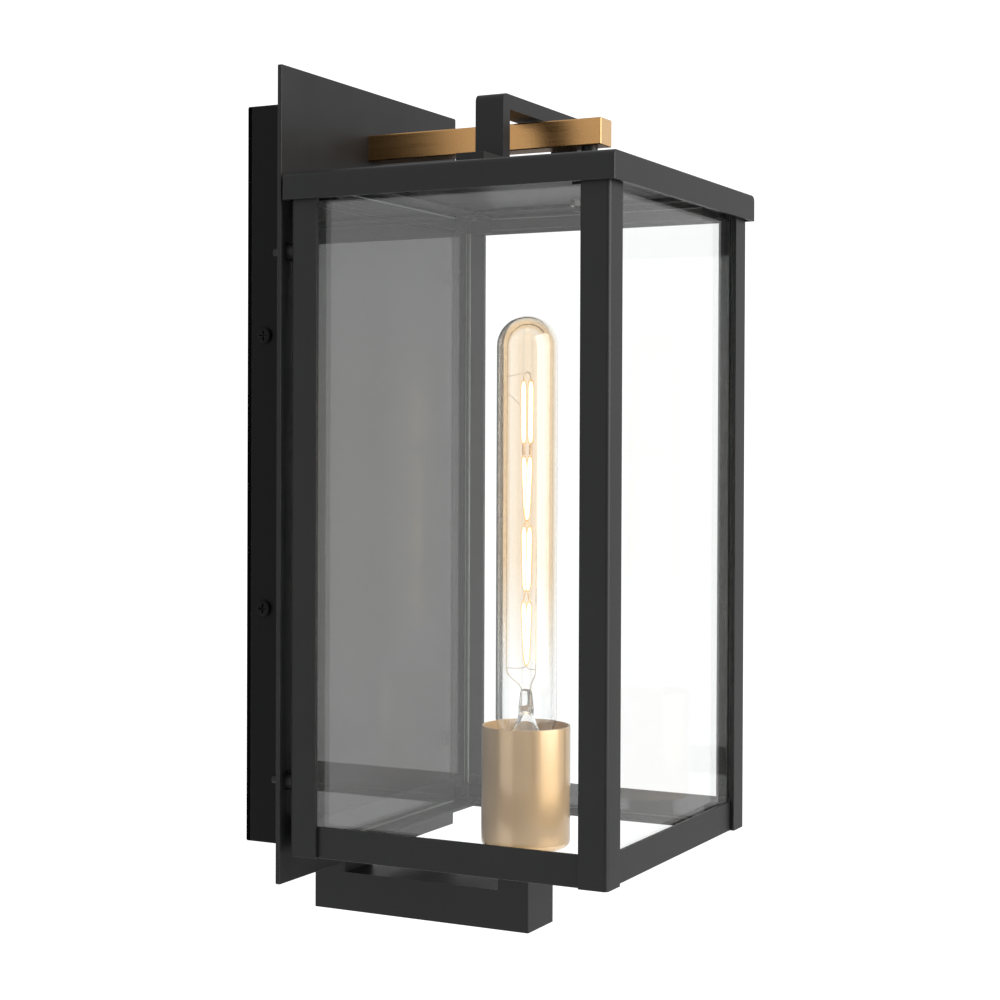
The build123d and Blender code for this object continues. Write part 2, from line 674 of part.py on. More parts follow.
def bulb_leads():
    """Links from tier to tier, a bridge over the top, and a lead up each side from the stem."""
    y = CAGE_YC
    out = []
    for (upper, _), (_, lower) in zip(TIERS, TIERS[1:]):
        for sy in (-1, 1):
            out.append(rod_z(0, y + sy * STICK_Y, lower, upper, 0.4))
    top = TIERS[0][1]
    bridge = rod_y(0, top + 3.0, y - STICK_Y - 0.7, y + STICK_Y + 0.7, 0.45)
    for sy in (-1, 1):
        bridge += rod_z(0, y + sy * STICK_Y, top, top + 3.0, 0.35)
    out.append(bridge)
    # the rear lead runs on up and bends over under the dome; the front one stops halfway
    hoop = [(0, y + LEAD_REAR * math.cos(math.radians(a)),
             HOOP_TOP - LEAD_REAR * (1 - math.sin(math.radians(a)))) for a in range(0, 145, 8)]
    low = TIERS[-1][0]
    for sy, side, upper in ((1, LEAD_REAR, hoop), (-1, LEAD_FRONT, [(0, y + LEAD_FRONT, -30.0)])):
        lead = wire_run([(0, y + sy * 2.4, STEM_TOP), (0, y + sy * 2.4, -105.5),
                         (0, y + side, -101.0)] + upper, 0.35, 1.5)
        lead += rod_y(0, low - 2.0, y + sy * (STICK_Y - 0.6), y + side, 0.28)
        lead += rod_z(0, y + sy * STICK_Y, low - 2.0, low, 0.22)
        if sy > 0:
            lead += wire_run([(0, y + side, 41.5), (0, y + STICK_Y + STICK_R + 0.4, 33.5)], 0.25)
        out.append(lead)
    return out


# ---------------------------------------------------------------- wiring
def supply_wire(side, r):
    """From the lamp holder down through the lower arm and up into the wall box."""
    near, wide = side * 1.7, side * 7.0
    zb = LOW_Z0 + 9.0
    pts = [(near, CAGE_YC, HOLD_Z0 - 1.3), (near, CAGE_YC, -197.0), (wide, CAGE_YC + 2, zb),
           (wide, WIRE_YR, zb), (near, WIRE_YR, -193.0), (near, WIRE_YR, -158.0),
           (side * 14.0, -16.0, -95.0), (side * 16.0, -16.0, -22.0)]
    return wire_run(pts, r, 4.0)


def wire_ends():
    """Twist-on connectors on the two supply wires, ready for the house wiring."""
    out = []
    for side in (-1, 1):
        cone = Pos(side * 16.0, -16.0, -13.0) * Cone(4.2, 2.6, 18.0)
        cone -= rod_z(side * 16.0, -16.0, -23.0, -12.0, 1.45)
        out.append(cone)
    return out


save("wall_box", wall_box())
save("wall_gasket", wall_gasket())
save("mounting_bracket", mounting_bracket())
save("box_side_screws", *side_screws())
save("ground_screw", ground_screw())
save("ground_washer", ground_washer())
save("back_plate", back_plate())
save("plate_stud_nuts", *stud_nuts())
save("cage_standoffs", *standoffs())
save("standoff_screws", *standoff_screws())
save("standoff_nuts", *standoff_nuts())

for sx, side in ((-1, "left"), (1, "right")):
    save("post_front_" + side, post(sx, True))
    save("post_rear_" + side, post(sx, False))
for side in ("front", "rear", "left", "right"):
    save("bottom_rail_" + side, rail(side, False))
    save("top_rail_" + side, top_rail(side))
    save("pane_" + side, pane(side))
save("corner_clips_top", *corner_clips(True))
save("corner_clips_bottom", *corner_clips(False))
save("roof_screws", *roof_screws())
save("roof_cap", roof_cap())

save("brass_arm", brass_arm())
save("arm_screw", arm_screw())
save("arm_spacer", arm_spacer())
save("spacer_screw", spacer_screw())
save("strap", strap())
save("strap_screws", *strap_screws())
save("strap_nuts", *strap_nuts())

save("lower_arm", lower_arm())
save("lower_cover", lower_cover())
save("cover_screws", *cover_screws())
save("riser_screws", *riser_screws())
save("box_bush", box_bush())
save("nipple", nipple())
save("nipple_nuts", *nipple_nuts())
save("socket_cup", socket_cup())
save("holder_body", holder_body())
save("holder_shell", holder_shell())
save("holder_contact", holder_contact())
save("holder_rivets", *holder_rivets())

save("bulb_glass", bulb_glass())
save("bulb_base", bulb_base())
save("bulb_insulator", bulb_insulator())
save("bulb_tip", bulb_tip())
save("bulb_stem", bulb_stem())
save("bulb_filaments", *bulb_filaments())
save("bulb_leads", *bulb_leads())

save("wire_live", supply_wire(-1, 1.2))
save("wire_neutral", supply_wire(1, 1.2))
save("wire_nuts", *wire_ends())
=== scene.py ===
import math

import bmesh
import bpy
from mathutils import Matrix, Vector


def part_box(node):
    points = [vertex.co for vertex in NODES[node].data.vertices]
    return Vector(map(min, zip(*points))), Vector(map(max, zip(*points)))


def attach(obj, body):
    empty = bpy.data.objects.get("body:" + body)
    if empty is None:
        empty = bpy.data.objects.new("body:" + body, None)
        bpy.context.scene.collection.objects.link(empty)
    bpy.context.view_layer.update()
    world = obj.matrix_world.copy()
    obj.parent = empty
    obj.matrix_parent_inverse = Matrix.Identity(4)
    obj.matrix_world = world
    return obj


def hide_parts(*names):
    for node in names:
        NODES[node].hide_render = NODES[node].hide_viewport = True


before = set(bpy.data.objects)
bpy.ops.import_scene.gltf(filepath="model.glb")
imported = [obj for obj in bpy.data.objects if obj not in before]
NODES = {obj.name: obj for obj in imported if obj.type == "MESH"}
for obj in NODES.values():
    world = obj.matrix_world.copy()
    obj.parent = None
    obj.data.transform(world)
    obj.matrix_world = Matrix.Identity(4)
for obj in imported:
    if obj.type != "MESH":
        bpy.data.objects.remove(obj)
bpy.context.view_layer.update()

# ------------------------------------------------------------------ key places
LAMP_LO, LAMP_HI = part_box("bulb_glass")
LAMP_X = (LAMP_LO.x + LAMP_HI.x) / 2
LAMP_Y = (LAMP_LO.y + LAMP_HI.y) / 2
LAMP_R = (LAMP_HI.x - LAMP_LO.x) / 2
LAMP_TOP = LAMP_HI.z
MM = 0.001


# ------------------------------------------------------------------ node helpers
def new_material(name):
    m = bpy.data.materials.new(name)
    m.use_nodes = True
    m.node_tree.nodes.clear()
    return m, m.node_tree


def feed(nt, socket, value):
    """Links a socket, or sets its value; a colour of three numbers gets alpha 1."""
    if isinstance(value, bpy.types.NodeSocket):
        nt.links.new(value, socket)
    elif socket.type == "RGBA" and len(value) == 3:
        socket.default_value = (*value, 1)
    else:
        socket.default_value = value


def node(nt, kind, props=None, **sockets):
    """Adds a node; sockets are named, or given as i0, i1 and so on by their index."""
    n = nt.nodes.new(kind)
    for key, value in (props or {}).items():
        setattr(n, key, value)
    for key, value in sockets.items():
        by_index = key[0] == "i" and key[1:].isdigit()
        feed(nt, n.inputs[int(key[1:]) if by_index else key.replace("_", " ")], value)
    return n


def maths(nt, op, a, b=None):
    n = node(nt, "ShaderNodeMath", {"operation": op}, i0=a)
    if b is not None:
        feed(nt, n.inputs[1], b)
    return n.outputs[0]


def ramp(nt, fac, stops):
    """Value ramp; stops are (position, value)."""
    n = node(nt, "ShaderNodeValToRGB", None, i0=fac)
    while len(n.color_ramp.elements) < len(stops):
        n.color_ramp.elements.new(0.5)
    for e, (pos, value) in zip(n.color_ramp.elements, stops):
        e.position = pos
        e.color = (value, value, value, 1)
    return n.outputs["Color"]


def span(nt, value, a, b, lo=0.0, hi=1.0):
    """Maps a..b to lo..hi, clamped."""
    n = node(nt, "ShaderNodeMapRange", {"clamp": True}, i0=value, i1=a, i2=b, i3=lo, i4=hi)
    return n.outputs[0]


def blend_colour(nt, fac, a, b):
    return node(nt, "ShaderNodeMix", {"data_type": "RGBA"}, Factor=fac, i6=a, i7=b).outputs[2]


def blend_shader(nt, fac, a, b):
    return node(nt, "ShaderNodeMixShader", None, i0=fac, i1=a.outputs[0], i2=b.outputs[0])


def object_coords(nt, scale=(1, 1, 1)):
    tc = node(nt, "ShaderNodeTexCoord")
    if scale == (1, 1, 1):
        return tc.outputs["Object"]
    mp = node(nt, "ShaderNodeMapping", None, Vector=tc.outputs["Object"], Scale=scale)
    return mp.outputs["Vector"]


def noise(nt, scale, detail=3.0, rough=0.5, stretch=(1, 1, 1)):
    """Noise in object space; scale is in waves per metre."""
    n = node(nt, "ShaderNodeTexNoise", None, Vector=object_coords(nt, stretch), Scale=scale,
             Detail=detail, Roughness=rough)
    return n.outputs["Fac"]


def bump(nt, height, strength, distance):
    n = node(nt, "ShaderNodeBump", None, Strength=strength, Distance=distance, Height=height)
    return n.outputs["Normal"]


def output(nt, shader):
    node(nt, "ShaderNodeOutputMaterial", None, Surface=shader.outputs[0])


def edge_mask(nt, radius):
    """1 on convex and concave edges, 0 on flat faces."""
    bv = node(nt, "ShaderNodeBevel", {"samples": 4}, Radius=radius)
    geo = node(nt, "ShaderNodeNewGeometry")
    dot = node(nt, "ShaderNodeVectorMath", {"operation": "DOT_PRODUCT"}, i0=bv.outputs["Normal"],
               i1=geo.outputs["Normal"])
    off = maths(nt, "SUBTRACT", 1.0, dot.outputs["Value"])
    return span(nt, off, 0.015, 0.16)


# ------------------------------------------------------------------ materials
def powder_coat(name, base=(0.0085, 0.0087, 0.0092), rough=0.40, gloss=0.25,
                worn_and_highlight=(0.045, 0.045, 0.047), edges=True):
    """Fine-textured satin powder coat: orange peel, faint mottling, rubbed edges that are partly a painted
    highlight.
    """
    m, nt = new_material(name)
    peel = noise(nt, 1500.0, 2.0, 0.55)
    grain = noise(nt, 5200.0, 1.0, 0.5)
    cloud = noise(nt, 34.0, 4.0, 0.6)
    dust = noise(nt, 420.0, 4.0, 0.7)
    dark = tuple(c * 0.86 for c in base)
    light = tuple(c * 1.16 for c in base)
    colour = blend_colour(nt, span(nt, cloud, 0.35, 0.68), dark, light)
    colour = blend_colour(nt, span(nt, dust, 0.70, 0.80, 0.0, 0.22), colour, (0.060, 0.059, 0.057))
    roughness = span(nt, cloud, 0.3, 0.7, rough - 0.035, rough + 0.045)
    # rubbed edges and a painted highlight: edges and corners are lightened toward the worn tone, standing
    # in partly for the highlight along the edges
    if edges:  # rubbed through to a greyer tone, and a little shinier
        edge = edge_mask(nt, 0.0007)
        chips_and_highlight = maths(nt, "MULTIPLY", edge, span(nt, noise(nt, 260.0, 3.0, 0.6), 0.42, 0.70))
        colour = blend_colour(nt, maths(nt, "MULTIPLY", chips_and_highlight, 0.75), colour, worn_and_highlight)
        roughness = maths(nt, "SUBTRACT", roughness, maths(nt, "MULTIPLY", edge, 0.05))
    height = maths(nt, "ADD", peel, maths(nt, "MULTIPLY", grain, 0.35))
    normal = bump(nt, height, 0.20, 0.000035)
    p = node(nt, "ShaderNodeBsdfPrincipled", None, Base_Color=colour, Roughness=roughness,
             IOR=1.5, Normal=normal)
    p.inputs["Specular IOR Level"].default_value = gloss
    output(nt, p)
    return m


def metal(name, light, dark, rough, streak=None, streak_amount=0.5, spots=0.25,
          edge=(0.9, 0.85, 0.7), peel=0.0, bump_depth=0.00003, painted_end_light=None):
    """Grained or brushed metal, tarnish clouds and edges painted bright as a highlight; the end tint paints
    the faces across Y lighter, as light falling on the ends.
    """
    m, nt = new_material(name)
    cloud = noise(nt, 55.0, 5.0, 0.62)
    fine = noise(nt, 900.0, 3.0, 0.6)
    if streak is None:
        lines = noise(nt, 1300.0, 2.0, 0.5)
    else:
        lines = noise(nt, 1.0, 4.0, 0.7, streak)
    colour = blend_colour(nt, span(nt, lines, 0.32, 0.68), dark, light)
    tarnish = tuple(c * 0.62 for c in dark)
    colour = blend_colour(nt, span(nt, cloud, 0.55, 0.78, 0.0, spots), colour, tarnish)
    # painted light: faces across Y, the bar's ends, are tinted lighter as if lit from the front
    if painted_end_light:
        tc = node(nt, "ShaderNodeTexCoord")
        facing = node(nt, "ShaderNodeSeparateXYZ", None, Vector=tc.outputs["Normal"]).outputs["Y"]
        colour = blend_colour(nt, span(nt, maths(nt, "ABSOLUTE", facing), 0.80, 0.95), colour, painted_end_light)
    # painted highlight: every edge is blended toward the light edge colour
    edge_highlight_mask = edge_mask(nt, 0.0005)
    colour = blend_colour(nt, maths(nt, "MULTIPLY", edge_highlight_mask, 0.45), colour, edge)
    rough_node = maths(nt, "ADD", span(nt, lines, 0.3, 0.7, rough - 0.06, rough + 0.06),
                       span(nt, fine, 0.3, 0.7, -0.03, 0.03))
    height = maths(nt, "ADD", maths(nt, "MULTIPLY", lines, streak_amount),
                   maths(nt, "MULTIPLY", fine, peel))
    normal = bump(nt, height, 0.5, bump_depth)
    p = node(nt, "ShaderNodeBsdfPrincipled", None, Base_Color=colour, Metallic=1.0,
             Roughness=rough_node, Normal=normal)
    output(nt, p)
    return m


def satin_gold(name):
    """Smooth satin gold under clear lacquer: even colour, barely visible grain, and a painted highlight on
    the edges.
    """
    m, nt = new_material(name)
    cloud = noise(nt, 45.0, 4.0, 0.6)
    grain = noise(nt, 2600.0, 2.0, 0.5)
    speck = noise(nt, 480.0, 3.0, 0.65)
    colour = blend_colour(nt, span(nt, cloud, 0.3, 0.7), (0.430, 0.264, 0.102), (0.465, 0.288, 0.115))
    colour = blend_colour(nt, span(nt, speck, 0.70, 0.80, 0.0, 0.25), colour, (0.36, 0.23, 0.12))
    # painted highlight: edges blended toward a lighter gold
    edge = maths(nt, "MULTIPLY", edge_mask(nt, 0.0005), 0.35)
    colour = blend_colour(nt, edge, colour, (0.74, 0.56, 0.34))
    p = node(nt, "ShaderNodeBsdfPrincipled", None, Base_Color=colour, Metallic=0.55,
             Roughness=span(nt, grain, 0.3, 0.7, 0.29, 0.33), Normal=bump(nt, grain, 0.03, 0.000004))
    p.inputs["Coat Weight"].default_value = 1.0
    p.inputs["Coat Roughness"].default_value = 0.11
    p.inputs["Coat IOR"].default_value = 1.62
    output(nt, p)
    return m


def plastic(name, base, rough=0.42, scale=700.0, tint=0.12, ior=1.46):
    """Moulded plastic or glass insulator: slight colour clouds and a fine grain."""
    m, nt = new_material(name)
    cloud = noise(nt, 90.0, 4.0, 0.6)
    fine = noise(nt, scale, 3.0, 0.6)
    colour = blend_colour(nt, span(nt, cloud, 0.3, 0.7), tuple(c * (1 - tint) for c in base),
                          tuple(min(1, c * (1 + tint)) for c in base))
    specks = tuple(c * 0.6 for c in base)
    colour = blend_colour(nt, span(nt, fine, 0.62, 0.75, 0, 0.2), colour, specks)
    p = node(nt, "ShaderNodeBsdfPrincipled", None, Base_Color=colour,
             Roughness=span(nt, fine, 0.3, 0.7, rough - 0.06, rough + 0.08),
             IOR=ior, Normal=bump(nt, fine, 0.3, 0.00004))
    output(nt, p)
    return m


def two_sided_fresnel(nt, ior):
    """Fresnel share that is the same on the front and the back of a thin sheet."""
    geo = node(nt, "ShaderNodeNewGeometry")
    index = span(nt, geo.outputs["Backfacing"], 0.0, 1.0, ior, 1.0 / ior)
    return node(nt, "ShaderNodeFresnel", None, IOR=index).outputs[0]


def pane_glass(name, axis):
    """Clear float glass: straight view through the faces, dark ground edges with a painted highlight on the
    arris.
    """
    m, nt = new_material(name)
    smear = noise(nt, 16.0, 4.0, 0.62, (1.0, 1.0, 0.45))
    speck = noise(nt, 800.0, 2.0, 0.5)
    clear = node(nt, "ShaderNodeBsdfTransparent", None, Color=(0.993, 0.997, 0.995))
    shine = node(nt, "ShaderNodeBsdfAnisotropic", None, Color=(1, 1, 1), Roughness=0.0)
    face = blend_shader(nt, two_sided_fresnel(nt, 1.52), clear, shine)
    dust = node(nt, "ShaderNodeBsdfDiffuse", None, Color=(0.80, 0.81, 0.80))
    haze = maths(nt, "ADD", span(nt, smear, 0.45, 0.80, 0.003, 0.008),
                 span(nt, speck, 0.75, 0.81, 0.0, 0.03))
    dusty = blend_shader(nt, haze, face, dust)
    ground = noise(nt, 1400.0, 3.0, 0.6)
    tc = node(nt, "ShaderNodeTexCoord")
    sep = node(nt, "ShaderNodeSeparateXYZ", None, Vector=tc.outputs["Normal"])
    lean = maths(nt, "ABSOLUTE", sep.outputs[axis])
    deep = blend_colour(nt, span(nt, ground, 0.3, 0.7), (0.075, 0.086, 0.081), (0.110, 0.124, 0.117))
    # painted highlight: the chamfered arris is coloured light against the dark edge
    edge_colour_with_arris_highlight = blend_colour(nt, span(nt, lean, 0.45, 0.60), deep, (0.34, 0.38, 0.36))
    body = node(nt, "ShaderNodeBsdfPrincipled", None, Base_Color=edge_colour_with_arris_highlight,
                Roughness=span(nt, ground, 0.3, 0.7, 0.22, 0.42), IOR=1.5,
                Normal=bump(nt, ground, 0.4, 0.00005))
    through = node(nt, "ShaderNodeBsdfTransparent", None, Color=(0.55, 0.61, 0.58))
    edge = blend_shader(nt, 0.35, body, through)
    output(nt, blend_shader(nt, span(nt, lean, 0.88, 0.96, 1.0, 0.0), dusty, edge))
    return m


def lamp_glass(name, amber=True):
    """Blown lamp glass: clear, with a thin amber film that fades away downwards; across the facing angle
    the film is painted in bands that stand in for reflections.
    """
    m, nt = new_material(name)
    clear, rim_clear = (0.990, 0.992, 0.992), (0.975, 0.980, 0.980)
    if amber:
        height = node(nt, "ShaderNodeSeparateXYZ", None, Vector=object_coords(nt)).outputs["Z"]
        wave = noise(nt, 40.0, 3.0, 0.5, (1, 1, 0.3))
        level = maths(nt, "ADD", height, span(nt, wave, 0.3, 0.7, -0.008, 0.008))
        film = span(nt, level, -0.108, -0.042)
        facing = node(nt, "ShaderNodeLayerWeight", None, Blend=0.5).outputs["Facing"]
        bare = blend_colour(nt, span(nt, facing, 0.05, 0.40), clear, rim_clear)
        # painted reflection: the film's strength rises and falls in bands with the facing angle, standing
        # in for reflections of the lit sticks
        film_and_painted_bands = ramp(nt, facing, [(0.0, 0.48), (0.045, 0.48), (0.09, 0.32), (0.19, 0.32),
                                  (0.27, 1.0), (0.46, 1.0), (0.62, 0.25)])
        colour = blend_colour(nt, maths(nt, "MULTIPLY", film, film_and_painted_bands), bare, (0.875, 0.668, 0.415))
    else:
        colour = blend_colour(nt, span(nt, noise(nt, 500.0), 0.3, 0.7), clear, (0.96, 0.97, 0.97))
    ripple = noise(nt, 70.0, 2.0, 0.5, (1, 1, 0.15))
    p = node(nt, "ShaderNodeBsdfPrincipled", None, Base_Color=colour, Roughness=0.0, IOR=1.6,
             Normal=bump(nt, ripple, 0.12, 0.0003))
    p.inputs["Transmission Weight"].default_value = 1.0
    shadow = node(nt, "ShaderNodeBsdfTransparent", None, Color=colour)
    path = node(nt, "ShaderNodeLightPath")
    output(nt, blend_shader(nt, path.outputs["Is Shadow Ray"], p, shadow))
    return m


def glow(name, colour, strength, clear=0.0):
    """Lit phosphor: granular brightness along the stick; clear is the share that is seen through."""
    m, nt = new_material(name)
    grains = noise(nt, 1800.0, 2.0, 0.6)
    shade = blend_colour(nt, span(nt, grains, 0.3, 0.7), tuple(c * 0.93 for c in colour), colour)
    light = node(nt, "ShaderNodeEmission", None, Color=shade, Strength=strength)
    if clear:
        through = node(nt, "ShaderNodeBsdfTransparent", None, Color=(1.0, 0.93, 0.78))
        light = blend_shader(nt, clear, light, through)
    output(nt, light)
    return m


def porcelain(name):
    """Glazed porcelain with a few dark specks."""
    m, nt = new_material(name)
    cloud = noise(nt, 60.0, 4.0, 0.6)
    speck = noise(nt, 650.0, 2.0, 0.6)
    colour = blend_colour(nt, span(nt, cloud, 0.3, 0.7), (0.76, 0.74, 0.68), (0.86, 0.85, 0.81))
    colour = blend_colour(nt, span(nt, speck, 0.72, 0.80, 0, 0.5), colour, (0.45, 0.40, 0.34))
    p = node(nt, "ShaderNodeBsdfPrincipled", None, Base_Color=colour,
             Roughness=span(nt, cloud, 0.3, 0.7, 0.16, 0.26), Normal=bump(nt, cloud, 0.2, 0.0003))
    p.inputs["Coat Weight"].default_value = 0.6
    output(nt, p)
    return m


black = powder_coat("powder_black")
black_box = powder_coat("powder_black_box", base=(0.0044, 0.0045, 0.0048), rough=0.50, gloss=0.10)
gasket_foam = powder_coat("gasket_foam", base=(0.0012, 0.0012, 0.0013), rough=0.85, gloss=0.02,
                          edges=False)
zinc = metal("zinc_plate", (0.72, 0.72, 0.70), (0.56, 0.57, 0.57), 0.34, peel=0.4)
galvanised = metal("galvanised", (0.66, 0.67, 0.68), (0.50, 0.51, 0.53), 0.42, peel=0.5, spots=0.5)
green_screw = powder_coat("green_dye", base=(0.02, 0.16, 0.05), rough=0.3, gloss=0.5, edges=False)
yellow_brass = metal("plain_brass", (0.80, 0.60, 0.28), (0.70, 0.50, 0.22), 0.30, peel=0.3)
arm_brass = metal("brushed_brass", (0.490, 0.278, 0.113), (0.445, 0.247, 0.099), 0.31,
                  streak=(2100.0, 12.0, 2100.0), streak_amount=1.0, spots=0.10,
                  edge=(0.74, 0.50, 0.26), bump_depth=0.000012, painted_end_light=(0.88, 0.58, 0.30))
cup_brass = satin_gold("satin_gold")
white_glaze = porcelain("porcelain")
thread_brass = metal("thread_brass", (0.80, 0.62, 0.32), (0.64, 0.47, 0.22), 0.26, peel=0.2)
cap_metal = metal("cap_metal", (0.80, 0.70, 0.50), (0.70, 0.60, 0.42), 0.24, peel=0.2)
solder = metal("solder", (0.62, 0.62, 0.62), (0.46, 0.46, 0.48), 0.36, peel=0.8, spots=0.5)
lead_metal = metal("lead_wire", (0.74, 0.67, 0.58), (0.60, 0.53, 0.45), 0.28, peel=0.2)
tab_metal = metal("tab_metal", (0.82, 0.66, 0.46), (0.70, 0.54, 0.36), 0.32, peel=0.2)
black_glass = plastic("black_glass", (0.012, 0.012, 0.014), rough=0.12, scale=300.0, tint=0.2,
                      ior=1.52)
nylon = plastic("nylon", (0.78, 0.76, 0.70), rough=0.45)
jacket_black = plastic("jacket_black", (0.022, 0.022, 0.024), rough=0.38)
jacket_white = plastic("jacket_white", (0.78, 0.77, 0.74), rough=0.38)
nut_orange = plastic("connector_orange", (0.72, 0.20, 0.03))
envelope_glass = lamp_glass("lamp_glass")
stem_glass = lamp_glass("stem_glass", amber=False)
stick_core = glow("stick_core", (1.0, 0.86, 0.60), 12.0)
stick_coat = glow("stick_coat", (1.0, 0.62, 0.26), 1.25, clear=0.48)

POSTS = ["post_front_left", "post_front_right", "post_rear_left", "post_rear_right"]
RAILS = [level + "_rail_" + side for side in ("front", "rear", "left", "right")
         for level in ("bottom", "top")]

DRESS = {
    black: POSTS + RAILS + [
        "back_plate", "cage_standoffs", "standoff_nuts", "corner_clips_top", "corner_clips_bottom",
        "roof_cap", "strap", "strap_screws", "lower_arm", "lower_cover", "cover_screws", "arm_spacer",
        "standoff_screws", "roof_screws"],
    black_box: ["wall_box", "box_side_screws"],
    galvanised: ["mounting_bracket"],
    gasket_foam: ["wall_gasket"],
    zinc: ["plate_stud_nuts", "arm_screw", "spacer_screw", "strap_nuts", "riser_screws", "nipple",
           "nipple_nuts", "holder_rivets"],
    green_screw: ["ground_screw"],
    yellow_brass: ["ground_washer", "holder_contact"],
    arm_brass: ["brass_arm"],
    cup_brass: ["socket_cup"],
    white_glaze: ["holder_body"],
    thread_brass: ["holder_shell"],
    cap_metal: ["bulb_base"],
    solder: ["bulb_tip"],
    black_glass: ["bulb_insulator"],
    lead_metal: ["bulb_leads"],
    envelope_glass: ["bulb_glass"],
    stem_glass: ["bulb_stem"],
    stick_core: ["bulb_filaments"],
    nylon: ["box_bush"],
    jacket_black: ["wire_live"],
    jacket_white: ["wire_neutral"],
    nut_orange: ["wire_nuts"],
    pane_glass("pane_glass_x", "X"): ["pane_left", "pane_right"],
    pane_glass("pane_glass_y", "Y"): ["pane_front", "pane_rear"],
}
for material, names in DRESS.items():
    for name in names:
        mesh = NODES[name].data
        mesh.materials.clear()
        mesh.materials.append(material)


# ------------------------------------------------------------------ softened edges
def soften(name, width):
    """Small rounded arris on a folded or cut metal piece."""
    o = NODES[name]
    w = o.modifiers.new("weld", "WELD")
    w.merge_threshold = 0.002 * MM
    b = o.modifiers.new("arris", "BEVEL")
    b.width = width
    b.segments = 2
    b.limit_method = "ANGLE"
    b.angle_limit = math.radians(38.0)
    b.use_clamp_overlap = True
    b.harden_normals = False
    b.miter_outer = "MITER_ARC"
    n = o.modifiers.new("normals", "WEIGHTED_NORMAL")
    n.keep_sharp = False
    n.weight = 60


for name in POSTS:
    soften(name, 0.35 * MM)
for name in RAILS:
    soften(name, 0.30 * MM)
soften("roof_cap", 0.40 * MM)


# ------------------------------------------------------------------ mesh helpers
POLE_R = 1e-7  # a radius below this is a single point on the axis


def add_piece(name, mesh, material, body, slot, *stands_for):
    mesh.materials.append(material)
    o = bpy.data.objects.new(name, mesh)
    bpy.context.scene.collection.objects.link(o)
    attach(o, body)
    if stands_for:
        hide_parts(*stands_for)
    return o


def ring(bm, x, y, z, radius, count):
    """Ring of vertices at height z; radius is a length, or a function of the angle."""
    verts = []
    for k in range(count):
        a = 2 * math.pi * k / count
        r = radius(a) if callable(radius) else radius
        verts.append(bm.verts.new((x + r * math.cos(a), y + r * math.sin(a), z)))
    return verts


def join_rings(bm, low, high):
    """Faces between two rings; a ring of one vertex is a pole, and two poles need none."""
    if len(low) == 1 and len(high) == 1:
        return
    count = max(len(low), len(high))
    for k in range(count):
        j = (k + 1) % count
        if len(low) == 1:
            bm.faces.new((low[0], high[j], high[k]))
        elif len(high) == 1:
            bm.faces.new((low[k], low[j], high[0]))
        else:
            bm.faces.new((low[k], low[j], high[j], high[k]))


def finish_mesh(bm, name, smooth=True, outward=True):
    """Makes the mesh, with its faces turned outward if asked, and frees the bmesh."""
    if outward:
        bmesh.ops.recalc_face_normals(bm, faces=bm.faces)
    mesh = bpy.data.meshes.new(name)
    bm.to_mesh(mesh)
    bm.free()
    if smooth:
        mesh.polygons.foreach_set("use_smooth", [True] * len(mesh.polygons))
    return mesh


def profile(base, points):
    """(radius, height above base) in millimetres, as (radius, z) in metres."""
    return [(r * MM, base + h * MM) for r, h in points]


def lathe_mesh(name, outline, segments=72, smooth=True):
    """Closed outline of (radius, z) turned about the lamp's axis."""
    bm = bmesh.new()
    rings = []
    for r, z in outline:
        if r < POLE_R:
            rings.append([bm.verts.new((LAMP_X, LAMP_Y, z))])
        else:
            rings.append(ring(bm, LAMP_X, LAMP_Y, z, r, segments))
    for low, high in zip(rings, rings[1:] + rings[:1]):
        join_rings(bm, low, high)
    return finish_mesh(bm, name, smooth)


def arc(cx, cz, r, a0, a1, steps):
    """Points of a circular arc in the (radius, height) plane, angles in degrees."""
    out = []
    for k in range(steps + 1):
        a = math.radians(a0 + (a1 - a0) * k / steps)
        out.append((max(cx + r * math.cos(a), 0.0), cz + r * math.sin(a)))
    return out


def tube_mesh(name, runs):
    """Round wires swept along smooth paths; runs is a list of (points, radius)."""
    bm = bmesh.new()
    for points, radius in runs:
        curve = bpy.data.curves.new(name + "_path", "CURVE")
        curve.dimensions = "3D"
        spline = curve.splines.new("NURBS")
        spline.points.add(len(points) - 1)
        for p, co in zip(spline.points, points):
            p.co = (*co, 1)
        spline.order_u = 3
        spline.use_endpoint_u = True
        spline.resolution_u = 8
        curve.bevel_depth = radius
        curve.bevel_resolution = 2
        curve.use_fill_caps = True
        holder = bpy.data.objects.new(name + "_path", curve)
        made = bpy.data.meshes.new_from_object(holder)
        bm.from_mesh(made)
        bpy.data.objects.remove(holder)
        bpy.data.curves.remove(curve)
        bpy.data.meshes.remove(made)
    bmesh.ops.remove_doubles(bm, verts=bm.verts, dist=1e-7)
    return finish_mesh(bm, name)


# ------------------------------------------------------------------ lamp
GLASS_GAP = 0.02 * MM  # keeps the reshaped glass just inside the CAD one
GLASS_WALL = 0.9 * MM


